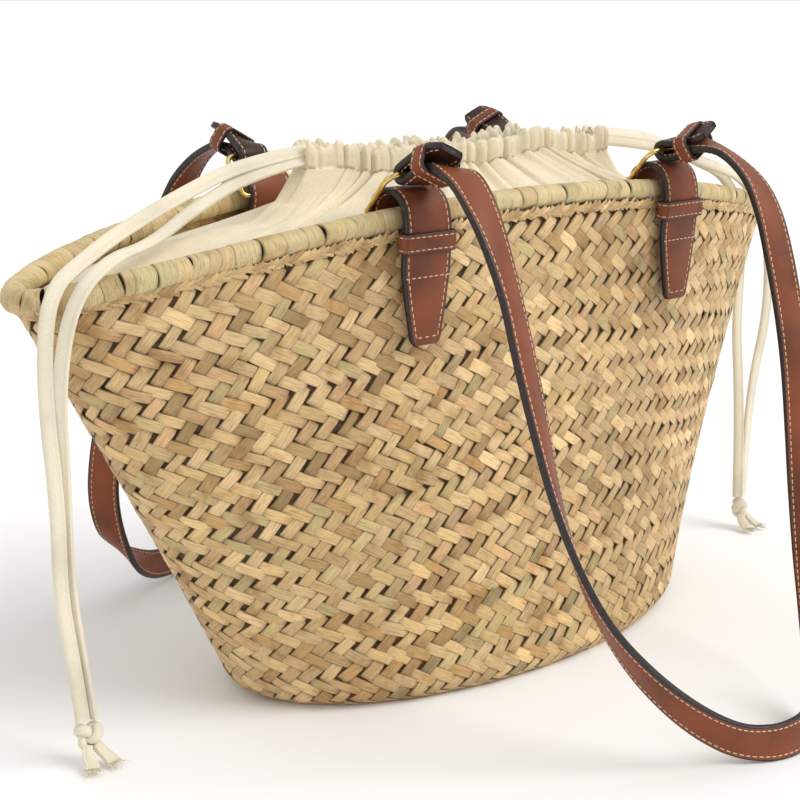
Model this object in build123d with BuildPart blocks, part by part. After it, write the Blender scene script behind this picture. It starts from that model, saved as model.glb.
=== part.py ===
"""Woven beach bag: an oval palm-leaf basket with a drawstring lining and two leather handles.

Millimetres.  +Z is up, +X runs along the long axis, -Y is the front.
The origin is the middle of the flat base, on the surface that the bag stands on.
"""

import os
from math import cos, pi, radians, sin, sqrt, tan

from build123d import *

# ---- Basket shell
HEIGHT = 300                       # top of the rim at the middle of the front
MOUTH_LENGTH, MOUTH_DEPTH = 610, 168
MOUTH_SHIFT = -12                  # the soft basket leans: its mouth stands this far along X from the base
BASE_LENGTH, BASE_DEPTH = 356, 198
SIDE_DRAW_IN = 3                   # how far the front and back draw in between base and mouth
FLARE = 1.05                       # how late the ends flare out
DEPTH_CLOSING = 0.6                # how early the depth closes towards the mouth
BOTTOM_ROUND = 14
WALL = 5
RIM_DROOP = 36.6                   # the two ends of the rim hang this far below its middle
SECTION_RISES = (0, 3, 7, 14, 40, 75, 110, 150, 190, 225, 255, 280, 300)

# ---- Rim
RIM = 14
RIM_WRAP = 2
LASHING = 4
LASHING_STAND = 1.5

# ---- Cotton lining
LINING = 1.6
LINING_GAP = 0.6
LINING_TOP = 246
COLLAR_THICKNESS = 2
COLLAR_SECTIONS = (                # height, half length, half depth, shift along X
    (246, 285, 75.5, -10), (258, 266, 66, -9), (275, 248, 57, -7), (290, 222, 47, -5), (305, 172, 33, -2),
    (315, 133, 20, 0),
)
CASING_LENGTH, CASING_DEPTH = 266, 40
CASING_BOTTOM, CASING_HEIGHT = 315, 12
CASING_WIDTH = 7
CASING_CLOTH = 1.5

# ---- Drawcords
CORD = 5
KNOT_DIAMETER, KNOT_HEIGHT = 19, 17
LEFT_KNOT = (-292, -13, 17)
RIGHT_KNOT = (299, 1, 17)

# ---- Leather tabs, brass rings and handles
TAB_X = 108
TAB_WIDTH = 32
TAB_TIP_WIDTH = 18
TAB_THICKNESS = 3.6
TAB_TIP_Z = 218
TAB_TAPER_Z = 262
TAB_ROUTE = (                      # y and z of the leather's middle, from the tip to the inner end
    (-83.4, 214), (-84.6, 260), (-87, 284), (-80, 302), (-65, 304), (-57, 291.5), (-60.5, 278), (-66.5, 262),
)
TAB_BENDS = (20, 20, 8, 5, 5, 12)
TAB_BAND_HEIGHT, TAB_BAND_Z = 11, 278
BAND_LEATHER = 2.2
BAND_TUCK = 0.5
RING_WIRE = 3
RING_WIDTH, RING_DEPTH = 39, 30      # between the middles of its wires
RING_BAR_ROUND, RING_ROUND = 2.5, 8
RING_BAR = (-57, 291.5)            # y and z of the bar that the tab holds
RING_LEAN = 42                     # the ring leans outwards by this angle from upright
HOLE = RING_WIRE / 2 + 0.06
STRAP_WIDTH, STRAP_THICKNESS = 20, 4
STRAP_END_X = 109
HEM_RADIUS = 4.2
LOOP_RADIUS = 5
STRAP_END = (-104, 318.5)          # y and z where the folded end of the strap stops
KEEPER_WIDTH = 10
KEEPER_GAP, KEEPER_LEATHER = 0.1, 2
KEEPER_FROM_BAR = 12

# Halves of the handles, each from its left end down to the lowest part of the loop, on the floor:
# the strap's middle, then the way its outer edge faces. The front handle is twice the same half,
# and the back one hangs lopsided, with its lowest part to the left.
FRONT_HALF = (
    ((-109, -88, 316), (-1, 0, 0)),
    ((-109, -103, 318), (-1, 0, 0)),
    ((-111, -120, 313), (-1, 0, 0)),
    ((-115, -137, 299), (-0.98, -0.2, 0)),
    ((-116, -149, 280), (-0.96, -0.25, 0)),
    ((-115, -159, 255), (-0.95, -0.3, 0)),
    ((-114, -169, 222), (-0.95, -0.3, 0)),
    ((-112, -178, 188), (-0.9, -0.4, 0)),
    ((-108, -187, 150), (-0.8, -0.6, 0)),
    ((-101, -197, 114), (-0.6, -0.8, 0)),
    ((-91, -209, 82), (-0.35, -0.9, 0.1)),
    ((-76, -224, 54), (-0.15, -0.85, 0.5)),
    ((-57, -240, 31), (0, -0.6, 0.8)),
    ((-37, -254, 16), (0.05, -0.25, 0.95)),
    ((-18, -264, 10.6), (0, 0.1, 1)),
    ((0, -268, 9.9), (0, 0.2, 1)),
)
BACK_WIDE_HALF = (
    ((-109, -88, 316), (-1, 0, 0)),
    ((-109, -103, 318), (-1, 0, 0)),
    ((-111, -120, 313), (-1, 0, 0)),
    ((-115, -135, 299), (-0.98, -0.2, 0)),
    ((-119, -145, 280), (-0.95, -0.28, 0)),
    ((-126, -153, 252), (-0.9, -0.4, 0)),
    ((-136, -159, 220), (-0.85, -0.5, 0)),
    ((-147, -163, 187), (-0.8, -0.58, 0)),
    ((-158, -166, 152), (-0.75, -0.65, 0)),
    ((-166, -168, 118), (-0.73, -0.68, 0)),
    ((-168, -171, 86), (-0.7, -0.7, 0.1)),
    ((-160, -177, 57), (-0.6, -0.7, 0.35)),
    ((-142, -187, 34), (-0.3, -0.6, 0.7)),
    ((-119, -199, 19), (0, -0.42, 0.9)),
    ((-94, -213, 12), (0.05, -0.3, 0.95)),
    ((-66, -225, 10.6), (0.02, -0.1, 1)),
    ((-38, -230, 11), (0, 0.2, 1)),
)
BACK_STEEP_HALF = (
    ((-109, -88, 316), (-1, 0, 0)),
    ((-109, -103, 318), (-1, 0, 0)),
    ((-111, -120, 313), (-1, 0, 0)),
    ((-115, -137, 299), (-0.98, -0.2, 0)),
    ((-115, -147, 278), (-0.96, -0.25, 0)),
    ((-111, -154, 256), (-0.95, -0.3, 0)),
    ((-103, -162, 230), (-0.93, -0.35, 0)),
    ((-93, -170, 200), (-0.9, -0.42, 0)),
    ((-80, -180, 166), (-0.85, -0.52, 0)),
    ((-65, -190, 132), (-0.75, -0.65, 0.05)),
    ((-48, -200, 98), (-0.6, -0.75, 0.15)),
    ((-30, -209, 68), (-0.42, -0.75, 0.35)),
    ((-10, -218, 42), (-0.25, -0.6, 0.6)),
    ((12, -225, 23), (-0.1, -0.3, 0.85)),
    ((38, -230, 11), (0, 0.2, 1)),
)

# Free cords, from the casing to the knot
LEFT_CORD_A = (
    (-133.5, 0, 324), (-170, -2, 318), (-215, -7, 304), (-256, -12, 289), (-289, -23, 275.5), (-304, -28, 268),
    (-311, -28, 250), (-312, -25, 208), (-308, -24, 153), (-307, -19, 102), (-299.5, -16, 59), (-295, -13, 25.9),
)
LEFT_CORD_B = (
    (-133.5, -1, 318.7), (-165, -4, 312.5), (-208, -11, 297.5), (-243, -20, 281.5), (-278, -37, 280), (-300, -40, 262),
    (-303, -30, 219), (-299, -23, 166), (-299, -19, 113), (-293, -15, 64), (-289, -13, 25.9),
)
RIGHT_CORD_A = (
    (133.5, 0, 324), (165, 5, 318.5), (205, 10, 306), (245, 13, 292), (279, 14, 280), (297, 12, 256),
    (300, 10, 215), (296, 9, 165), (301, 8, 112), (299, 4, 66), (296, 1, 25.9),
)
RIGHT_CORD_B = (
    (133.5, -1, 318.7), (167, -3, 312.5), (208, -4, 300), (246, -3, 289), (280, -2, 279), (304, -3, 254),
    (320, -2, 212), (323, 1, 165), (310, 2, 118), (305, 2, 68), (302, 1, 25.9),
)
RADIUS_SHARE = 0.45

os.makedirs("parts", exist_ok=True)


def save(piece, name):
    """Label a finished piece and write it under its own name."""
    piece.label = name
    export_step(piece, f"parts/{name}.step")


# ---------------------------------------------------------------- basket
def half_length(height):
    """Half of the wall's length at this height: the ends stop at the drooped rim."""
    rise = height / (HEIGHT - RIM_DROOP)
    return (BASE_LENGTH + (MOUTH_LENGTH - BASE_LENGTH) * rise**FLARE) / 2


def lean_at(height):
    """How far the wall's middle stands along X at this height."""
    return MOUTH_SHIFT * height / (HEIGHT - RIM_DROOP)


def half_depth(height):
    """Half of the wall's depth at this height."""
    rise = height / HEIGHT
    straight = (BASE_DEPTH + (MOUTH_DEPTH - BASE_DEPTH) * rise**DEPTH_CLOSING) / 2
    return straight - SIDE_DRAW_IN * sin(pi * rise)


def bottom_inset(rise):
    """How far the rounded bottom edge lies inside the wall, at this rise above the floor."""
    if rise >= BOTTOM_ROUND:
        return 0
    return BOTTOM_ROUND - sqrt(BOTTOM_ROUND**2 - (BOTTOM_ROUND - rise) ** 2)


def basket_shape(inset, floor):
    """A filled basket, inset from the wall's outer face and standing at the height floor."""
    with BuildPart() as shape:
        for rise in SECTION_RISES:
            height = floor + rise * (HEIGHT - floor) / HEIGHT
            shrink = inset + bottom_inset(rise)
            with BuildSketch(Plane.XY.offset(height)):
                with Locations((lean_at(height), 0)):
                    Ellipse(half_length(height) - shrink, half_depth(height) - shrink)
        loft(ruled=True)
    return shape.part


def below_droop(height):
    """Everything under the drooping line that passes the middle at this height."""
    half_chord = MOUTH_LENGTH / 2
    radius = (half_chord**2 + RIM_DROOP**2) / (2 * RIM_DROOP) - (HEIGHT - height)
    with BuildPart() as below:
        with Locations((MOUTH_SHIFT, 0, height - radius)):
            Cylinder(radius, 2 * MOUTH_DEPTH, rotation=(90, 0, 0))
    return below.part


def rim_ring(inset):
    """A closed ring along the mouth, inset on all four sides from the rim's outside."""
    width = RIM - 2 * inset
    top = HEIGHT - inset
    with BuildPart() as ring:
        with BuildSketch(Plane.XY.offset(top - RIM_DROOP - 2 * RIM)):
            with Locations((MOUTH_SHIFT, 0)):
                Ellipse(MOUTH_LENGTH / 2 - inset, MOUTH_DEPTH / 2 - inset)
                Ellipse(MOUTH_LENGTH / 2 - inset - width, MOUTH_DEPTH / 2 - inset - width, mode=Mode.SUBTRACT)
        extrude(amount=RIM_DROOP + 3 * RIM)
        add(below_droop(top), mode=Mode.INTERSECT)
        add(below_droop(top - width), mode=Mode.SUBTRACT)
        chamfer(ring.edges(), width * 0.28)
    return ring.part


def base_core(thickness):
    """The oval in the middle of the bottom."""
    with BuildPart() as core:
        with BuildSketch():
            Ellipse(BASE_LENGTH / 2 - 2 * BOTTOM_ROUND, BASE_DEPTH / 2 - 2 * BOTTOM_ROUND)
        extrude(amount=thickness)
    return core.part


rim_bottom = HEIGHT - RIM
outer_shape = basket_shape(0, 0)

with BuildPart() as basket_wall:
    add(outer_shape)
    add(basket_shape(WALL, WALL), mode=Mode.SUBTRACT)
    add(base_core(WALL), mode=Mode.SUBTRACT)
    add(below_droop(rim_bottom), mode=Mode.INTERSECT)
save(basket_wall.part, "basket_wall")

with BuildPart() as basket_base:
    add(base_core(WALL))
save(basket_base.part, "basket_base")

with BuildPart() as rim_core:
    add(rim_ring(RIM_WRAP))
save(rim_core.part, "rim_core")

with BuildPart() as rim_wrap:
    add(rim_ring(0))
    add(rim_ring(RIM_WRAP), mode=Mode.SUBTRACT)
save(rim_wrap.part, "rim_wrap")

with BuildPart() as rim_lashing:
    add(basket_shape(-LASHING_STAND, 0))
    add(below_droop(rim_bottom), mode=Mode.INTERSECT)
    add(below_droop(rim_bottom - LASHING), mode=Mode.SUBTRACT)
    add(outer_shape, mode=Mode.SUBTRACT)
save(rim_lashing.part, "rim_lashing")


# ---------------------------------------------------------------- lining
def collar_shape(inset):
    """The gathered cloth filled in, between the lining's top edge and the casing."""
    with BuildPart() as shape:
        for height, long_half, deep_half, shift in COLLAR_SECTIONS:
            with BuildSketch(Plane.XY.offset(height)):
                with Locations((shift, 0)):
                    Ellipse(long_half - inset, deep_half - inset)
        loft(ruled=True)
    return shape.part


def casing_ring(inset, bottom, height):
    """An upright ring around the drawstring mouth, inset from the casing's two faces."""
    with BuildPart() as ring:
        with BuildSketch(Plane.XY.offset(bottom)):
            Ellipse(CASING_LENGTH / 2 - inset, CASING_DEPTH / 2 - inset)
            Ellipse(
                CASING_LENGTH / 2 - CASING_WIDTH + inset,
                CASING_DEPTH / 2 - CASING_WIDTH + inset,
                mode=Mode.SUBTRACT,
            )
        extrude(amount=height)
    return ring.part


with BuildPart() as lining_bag:
    add(basket_shape(WALL + LINING_GAP, WALL + LINING_GAP))
    add(basket_shape(WALL + LINING_GAP + LINING, WALL + LINING_GAP + LINING), mode=Mode.SUBTRACT)
    split(bisect_by=Plane.XY.offset(LINING_TOP), keep=Keep.BOTTOM)
save(lining_bag.part, "lining_bag")

with BuildPart() as lining_collar:
    add(collar_shape(0))
    add(collar_shape(COLLAR_THICKNESS), mode=Mode.SUBTRACT)
save(lining_collar.part, "lining_collar")

channel_height = CASING_HEIGHT - 2 * CASING_CLOTH
with BuildPart() as drawstring_casing:
    add(casing_ring(0, CASING_BOTTOM, CASING_HEIGHT))
    add(casing_ring(CASING_CLOTH, CASING_BOTTOM + CASING_CLOTH, channel_height), mode=Mode.SUBTRACT)
save(drawstring_casing.part, "drawstring_casing")

for order, side in enumerate(("left", "right")):
    cord_bottom = CASING_BOTTOM + CASING_CLOTH + order * channel_height / 2
    with BuildPart() as hidden_cord:
        add(casing_ring(CASING_CLOTH, cord_bottom, channel_height / 2))
    save(hidden_cord.part, f"{side}_drawcord_in_casing")


# ---------------------------------------------------------------- drawcords
def corner_radii(points):
    """For each corner, the largest arc that its two runs leave room for."""
    radii = []
    for before, corner, after in zip(points, points[1:], points[2:]):
        run_in = Vector(corner) - Vector(before)
        run_out = Vector(after) - Vector(corner)
        half_turn = radians(run_in.get_angle(run_out) / 2)
        radii.append(RADIUS_SHARE * min(run_in.length, run_out.length) / tan(half_turn))
    return radii


def make_cord(name, points):
    """A limp cord, as a round tube of the same section along its route."""
    radii = corner_radii(points)
    with BuildPart() as cord:
        with BuildLine() as route:
            FilletPolyline(*points, radius=radii)
        with BuildSketch(Plane(origin=route.line @ 0, z_dir=route.line % 0)):
            Circle(CORD / 2)
        sweep()
    length = route.wires()[0].length
    ratio = cord.part.volume / (pi * (CORD / 2) ** 2 * length)
    print(f"{name}: length {length:.0f} mm, volume ratio {ratio:.3f}")
    print("  radii", [round(radius) for radius in radii])
    save(cord.part, name)


def make_knot(name, middle):
    """The overhand knot that joins the ends of two cord legs."""
    with BuildPart() as knot:
        with Locations(middle):
            Cylinder(KNOT_DIAMETER / 2, KNOT_HEIGHT)
        fillet(knot.edges().filter_by(GeomType.CIRCLE), KNOT_HEIGHT * 0.3)
    save(knot.part, name)


make_cord("left_drawcord_leg_a", LEFT_CORD_A)
make_cord("left_drawcord_leg_b", LEFT_CORD_B)
make_cord("right_drawcord_leg_a", RIGHT_CORD_A)
make_cord("right_drawcord_leg_b", RIGHT_CORD_B)
make_knot("left_drawcord_knot", LEFT_KNOT)
make_knot("right_drawcord_knot", RIGHT_KNOT)


# ---------------------------------------------------------------- tabs, rings and handles
def to_side(x_side, y_side):
    """Mirror the piece being built from the front left to its own corner."""
    if x_side > 0:
        mirror(about=Plane.YZ, mode=Mode.REPLACE)
    if y_side > 0:
        mirror(about=Plane.XZ, mode=Mode.REPLACE)


lean = radians(RING_LEAN)
bar_y, bar_z = RING_BAR
loop_y = bar_y - RING_DEPTH * sin(lean)
loop_z = bar_z + RING_DEPTH * cos(lean)


def make_tab(name, x_side, y_side):
    """A strip over the rim: pointed outer leg, fold, the hem that holds the ring's bar, inner leg."""
    with BuildPart() as tab:
        with BuildSketch(Plane.YZ.offset(-TAB_X - TAB_WIDTH / 2)):
            with BuildLine():
                FilletPolyline(*TAB_ROUTE, radius=TAB_BENDS)
            trace(line_width=TAB_THICKNESS)
        extrude(amount=TAB_WIDTH)
        with Locations((-TAB_X, bar_y, bar_z)):
            Cylinder(HEM_RADIUS, TAB_WIDTH, rotation=(0, 90, 0))
            Cylinder(HOLE, TAB_WIDTH, rotation=(0, 90, 0), mode=Mode.SUBTRACT)
        with BuildSketch(Plane.XZ):
            with Locations((-TAB_X, 0)):
                Polygon(
                    (-TAB_WIDTH / 2, TAB_TAPER_Z), (-TAB_TIP_WIDTH / 2, TAB_TIP_Z),
                    (TAB_TIP_WIDTH / 2, TAB_TIP_Z), (TAB_WIDTH / 2, TAB_TAPER_Z),
                    (TAB_WIDTH / 2, 2 * HEIGHT), (-TAB_WIDTH / 2, 2 * HEIGHT), align=None,
                )
        extrude(amount=MOUTH_DEPTH, both=True, mode=Mode.INTERSECT)
        to_side(x_side, y_side)
    save(tab.part, name)


def make_tab_band(name, x_side, y_side):
    """The flat leather band across the outer leg of a tab, with its ends tucked back to the wall."""
    lower, upper = TAB_ROUTE[1], TAB_ROUTE[2]
    slope = Vector(0, upper[0] - lower[0], upper[1] - lower[1])
    middle_y = lower[0] + (TAB_BAND_Z - lower[1]) * (upper[0] - lower[0]) / (upper[1] - lower[1])
    front = TAB_THICKNESS / 2 + BAND_LEATHER
    with BuildPart() as band:
        plane = Plane(origin=(-TAB_X, middle_y, TAB_BAND_Z), x_dir=(1, 0, 0), z_dir=slope)
        with BuildSketch(plane.offset(-TAB_BAND_HEIGHT / 2)):
            with Locations((0, BAND_TUCK)):
                Rectangle(TAB_WIDTH + 2 * BAND_LEATHER, front + BAND_TUCK, align=(Align.CENTER, Align.MAX))
            Rectangle(TAB_WIDTH, TAB_THICKNESS, mode=Mode.SUBTRACT)
        extrude(amount=TAB_BAND_HEIGHT)
        to_side(x_side, y_side)
    save(band.part, name)


def make_ring(name, x_side, y_side):
    """A brass loop with a straight bar in the tab's hem and a rounder far end for the strap."""
    plane = Plane(origin=(-TAB_X, bar_y, bar_z), x_dir=(1, 0, 0), z_dir=(0, -cos(lean), -sin(lean)))
    half = RING_WIDTH / 2
    with BuildPart() as ring:
        with BuildLine(plane) as wire:
            FilletPolyline(
                (-half, 0), (half, 0), (half, RING_DEPTH), (-half, RING_DEPTH),
                radius=(RING_BAR_ROUND, RING_BAR_ROUND, RING_ROUND, RING_ROUND), close=True,
            )
        with BuildSketch(Plane(origin=wire.line @ 0, z_dir=wire.line % 0)):
            Circle(RING_WIRE / 2)
        sweep()
        to_side(x_side, y_side)
    save(ring.part, name)


def strap_end():
    """The strap's end, folded round the ring's far bar and back on itself."""
    with BuildPart() as end:
        with BuildSketch(Plane.YZ.offset(-STRAP_END_X - STRAP_WIDTH / 2)):
            with BuildLine():
                Line((loop_y, loop_z), STRAP_END)
            trace(line_width=2 * STRAP_THICKNESS)
        extrude(amount=STRAP_WIDTH)
        with Locations((-STRAP_END_X, loop_y, loop_z)):
            Cylinder(LOOP_RADIUS, STRAP_WIDTH, rotation=(0, 90, 0))
            Cylinder(HOLE, STRAP_WIDTH, rotation=(0, 90, 0), mode=Mode.SUBTRACT)
    return end.part


def make_strap(name, y_side, left_half, right_half):
    """A handle strap: two folded ends and the twisting run between them."""
    points = [Vector(*point) for point, edge in left_half]
    points += [Vector(-x, y, z) for (x, y, z), edge in reversed(right_half[:-1])]
    edges = [Vector(*edge) for point, edge in left_half]
    edges += [Vector(-x, y, z) for point, (x, y, z) in reversed(right_half[:-1])]
    length = sum((after - before).length for before, after in zip(points, points[1:]))
    print(f"{name}: length {length:.0f} mm between its folds")
    ways = [after - before for before, after in zip(points, points[1:])]
    headings = [ways[0]] + [one + two for one, two in zip(ways, ways[1:])] + [ways[-1]]
    middle = len(left_half) - 1
    with BuildPart() as strap:
        for order, (point, edge, heading) in enumerate(zip(points, edges, headings)):
            across = edge if order <= middle else edge * -1
            face_turn = Vector(heading).cross(across)
            with BuildSketch(Plane(origin=point, x_dir=face_turn.cross(heading), z_dir=heading)):
                Rectangle(STRAP_WIDTH, STRAP_THICKNESS)
        loft(ruled=True)
        add(strap_end())
        add(mirror(strap_end(), about=Plane.YZ, mode=Mode.PRIVATE))
        to_side(-1, y_side)
    save(strap.part, name)


def make_keeper(name, x_side, y_side):
    """The small leather loop round the folded end of a strap."""
    end_y, end_z = STRAP_END
    way = Vector(0, end_y - loop_y, end_z - loop_z).normalized()
    start = Vector(-STRAP_END_X, loop_y, loop_z) + way * KEEPER_FROM_BAR
    inner_width = STRAP_WIDTH + 2 * KEEPER_GAP
    inner_depth = 2 * STRAP_THICKNESS + 2 * KEEPER_GAP
    with BuildPart() as keeper:
        with BuildSketch(Plane(origin=start, x_dir=(1, 0, 0), z_dir=way)):
            Rectangle(inner_width + 2 * KEEPER_LEATHER, inner_depth + 2 * KEEPER_LEATHER)
            Rectangle(inner_width, inner_depth, mode=Mode.SUBTRACT)
        extrude(amount=KEEPER_WIDTH)
        to_side(x_side, y_side)
    save(keeper.part, name)


make_strap("front_strap", -1, FRONT_HALF, FRONT_HALF)
make_strap("back_strap", 1, BACK_WIDE_HALF, BACK_STEEP_HALF)
for face, y_side in (("front", -1), ("back", 1)):
    for end, x_side in (("left", -1), ("right", 1)):
        make_tab(f"{face}_{end}_tab", x_side, y_side)
        make_tab_band(f"{face}_{end}_tab_band", x_side, y_side)
        make_ring(f"{face}_{end}_ring", x_side, y_side)
        make_keeper(f"{face}_{end}_keeper", x_side, y_side)
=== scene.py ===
"""The looks of a woven palm-leaf beach bag: plaited wall, wound rim, gathered cotton lining,
flat drawcords, leather tabs, brass rings and two twisting leather handles.

Lengths are worked in millimetres, in the CAD frame, and turned to metres where a mesh is made.
+Z is up, +X runs along the bag, -Y is its front.
"""

from math import copysign, cos, pi, radians, sin

import bpy
import numpy as np
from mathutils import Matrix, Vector


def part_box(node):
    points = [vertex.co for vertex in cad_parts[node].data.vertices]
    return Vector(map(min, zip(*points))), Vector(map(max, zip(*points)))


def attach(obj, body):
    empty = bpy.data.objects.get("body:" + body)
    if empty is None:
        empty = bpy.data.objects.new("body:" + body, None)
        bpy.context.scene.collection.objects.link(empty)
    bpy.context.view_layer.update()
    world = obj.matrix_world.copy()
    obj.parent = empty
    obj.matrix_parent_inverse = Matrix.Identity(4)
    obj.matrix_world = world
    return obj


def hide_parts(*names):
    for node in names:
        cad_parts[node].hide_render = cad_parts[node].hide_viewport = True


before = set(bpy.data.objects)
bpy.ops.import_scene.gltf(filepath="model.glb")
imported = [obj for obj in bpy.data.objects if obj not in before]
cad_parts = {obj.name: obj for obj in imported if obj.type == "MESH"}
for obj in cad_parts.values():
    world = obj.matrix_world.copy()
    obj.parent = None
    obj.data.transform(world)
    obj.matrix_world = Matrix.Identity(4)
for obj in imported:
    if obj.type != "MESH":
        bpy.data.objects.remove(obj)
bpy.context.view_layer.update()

MM = 0.001
rng = np.random.default_rng(11)

# ---------------------------------------------------------------- sizes read from the frame
def box_mm(node):
    """The two corners of a CAD node's box, in millimetres."""
    low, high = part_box(node)
    return np.array(low) / MM, np.array(high) / MM


rim_low, rim_high = box_mm("rim_wrap")
RIM = 14.0
RIM_RADIUS = RIM / 2
HEIGHT = rim_high[2]
MOUTH_A, MOUTH_B = (rim_high[0] - rim_low[0]) / 2, rim_high[1]
LEAN = (rim_high[0] + rim_low[0]) / 2   # the mouth's middle, along X from the base's
DROOP = HEIGHT - RIM - rim_low[2]  # how much lower the rim is at the two ends
DROOP_SHARE = DROOP / HEIGHT
BASE_A, BASE_B = 178.0, 99.0       # half length and half depth at the foot
DRAW_IN = 3.0                      # how far the long sides hollow at half height
ROUND = 14.0                       # radius of the bottom edge
CORNER = ROUND * pi / 2
WALL_RUN = CORNER + HEIGHT - ROUND # up the wall, from the flat bottom to the rim's top
BASE_MIDDLE = -84.0                # the run of the bottom's innermost ring
FLARE, CLOSING = 1.05, 0.6         # how the length and the depth change with height


# ---------------------------------------------------------------- the basket's surface
def half_axes(v):
    """Half length and half depth of the wall at the share v of its height."""
    v = np.clip(v, 0, 1.05)
    a = BASE_A + (MOUTH_A - BASE_A) * v**FLARE
    b = BASE_B + (MOUTH_B - BASE_B) * v**CLOSING - DRAW_IN * np.sin(pi * np.minimum(v, 1))
    return a, b


def wall_profile(d):
    """Height share and inset at the run d: below 0 is the flat bottom, then its round edge, then the wall."""
    turn = np.clip(d, 0, CORNER) / ROUND
    height = np.where(d < CORNER, ROUND * (1 - np.cos(turn)), ROUND + d - CORNER)
    inset = ROUND * (1 - np.sin(turn)) + np.where(d < 0, -d, 0)
    return height / HEIGHT, inset


LEVELS = np.linspace(-85, 312, 160)
STEPS = 721
TURN = np.linspace(0, 2 * pi, STEPS) + pi / 2


def arc_tables():
    """For each level, the ellipse angle at even steps of arc length, and the way round in mm."""
    angles, rounds = [], []
    for d in LEVELS:
        v, inset = wall_profile(d)
        a, b = half_axes(v)
        x, y = (a - inset) * np.cos(TURN), (b - inset) * np.sin(TURN)
        run = np.concatenate([[0], np.cumsum(np.hypot(np.diff(x), np.diff(y)))])
        angles.append(np.interp(np.linspace(0, run[-1], STEPS), run, TURN))
        rounds.append(run[-1])
    return np.array(angles), np.array(rounds)


ANGLES, ROUNDS = arc_tables()


def way_round(d):
    """The length once round the basket at the run d."""
    return np.interp(d, LEVELS, ROUNDS)


def ellipse_angle(share, d):
    """The ellipse angle at a share of the way round, counted from the middle of the back."""
    whole = np.floor(share)
    column = (share - whole) * (STEPS - 1)
    low = np.minimum(column.astype(int), STEPS - 2)
    part = column - low
    level = np.clip((d - LEVELS[0]) / (LEVELS[1] - LEVELS[0]), 0, len(LEVELS) - 1.001)
    row = level.astype(int)
    up = level - row
    lower = ANGLES[row, low] * (1 - part) + ANGLES[row, low + 1] * part
    upper = ANGLES[row + 1, low] * (1 - part) + ANGLES[row + 1, low + 1] * part
    return lower * (1 - up) + upper * up + 2 * pi * whole


def wall_point(share, d):
    """A point on the wall's outer face, in mm."""
    t = ellipse_angle(share, d)
    v, inset = wall_profile(d)
    a, b = half_axes(v)
    x = (a - inset) * np.cos(t) + LEAN * v
    y = (b - inset) * np.sin(t)
    z = v * HEIGHT * (1 - DROOP_SHARE * np.cos(t) ** 2)
    return np.stack([x, y, z], axis=-1)


def wall_normal(share, d):
    """The outward normal of the wall."""
    along = wall_point(share + 1e-3, d) - wall_point(share - 1e-3, d)
    up = wall_point(share, d + 0.5) - wall_point(share, d - 0.5)
    normal = np.cross(along, up)
    return normal / np.linalg.norm(normal, axis=-1, keepdims=True)


def lifted(share, d, lift):
    """A point at the height lift above the wall."""
    return wall_point(share, d) + wall_normal(share, d) * np.asarray(lift)[..., None]


# ---------------------------------------------------------------- mesh helpers
def new_piece(name, points, faces, materials, slot, body="basket", material_index=None):
    """A mesh object from points in mm, with those materials, riding on that body; the slot is not used."""
    mesh = bpy.data.meshes.new(name)
    points = np.asarray(points, dtype=np.float64).reshape(-1, 3) * MM
    mesh.from_pydata(points.tolist(), [], [list(map(int, face)) for face in faces])
    for material in materials:
        mesh.materials.append(material)
    if material_index is not None:
        mesh.polygons.foreach_set("material_index", np.asarray(material_index, dtype=np.int32))
    mesh.polygons.foreach_set("use_smooth", np.ones(len(mesh.polygons), dtype=bool))
    mesh.update()
    piece = bpy.data.objects.new(name, mesh)
    bpy.context.scene.collection.objects.link(piece)
    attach(piece, body)
    return piece


def store(piece, name, values):
    """Store one number or one vector per point."""
    values = np.asarray(values, dtype=np.float32)
    kind, field = ("FLOAT", "value") if values.ndim == 1 else ("FLOAT_VECTOR", "vector")
    layer = piece.data.attributes.new(name, kind, "POINT")
    layer.data.foreach_set(field, values.ravel())


def leaf_piece(name, points, faces, tones, strips, material, slot):
    """A piece of palm leaf: its points, linear RGB tones, and places along and across each strip."""
    piece = new_piece(name, np.concatenate(points), faces, [material], slot)
    tones = np.concatenate(tones)
    layer = piece.data.color_attributes.new("tone", "FLOAT_COLOR", "POINT")
    layer.data.foreach_set("color", np.c_[tones, np.ones(len(tones))].astype(np.float32).ravel())
    store(piece, "strip", np.concatenate(strips))
    return piece


def joined(parts):
    """Several (points, faces) pairs as one pair."""
    points, faces, total = [], [], 0
    for own_points, own_faces in parts:
        points.append(own_points)
        faces += [[number + total for number in face] for face in own_faces]
        total += len(own_points)
    return np.concatenate(points), faces


def grid_faces(rows, columns, closed_rows=False, closed_columns=False, first=0, flip=False):
    """Quads of a grid of points, stored row by row."""
    r = np.arange(rows if closed_rows else rows - 1)
    c = np.arange(columns if closed_columns else columns - 1)
    r, c = np.meshgrid(r, c, indexing="ij")
    r2, c2 = (r + 1) % rows, (c + 1) % columns
    quads = np.stack([r * columns + c, r * columns + c2, r2 * columns + c2, r2 * columns + c], axis=-1)
    quads = quads.reshape(-1, 4) + first
    return quads[:, ::-1] if flip else quads


def many_grids(count, rows, columns, **more):
    """The quads of many equal grids, one after the other."""
    one = grid_faces(rows, columns, **more)
    return (one[None] + (np.arange(count) * rows * columns)[:, None, None]).reshape(-1, 4)


def unit(vector):
    """The vector at length one, along its last axis."""
    vector = np.asarray(vector, dtype=float)
    return vector / np.maximum(np.linalg.norm(vector, axis=-1, keepdims=True), 1e-9)


def run_along(line):
    """How far each point lies along a line of points."""
    return np.concatenate([[0], np.cumsum(np.linalg.norm(np.diff(line, axis=0), axis=1))])


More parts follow.
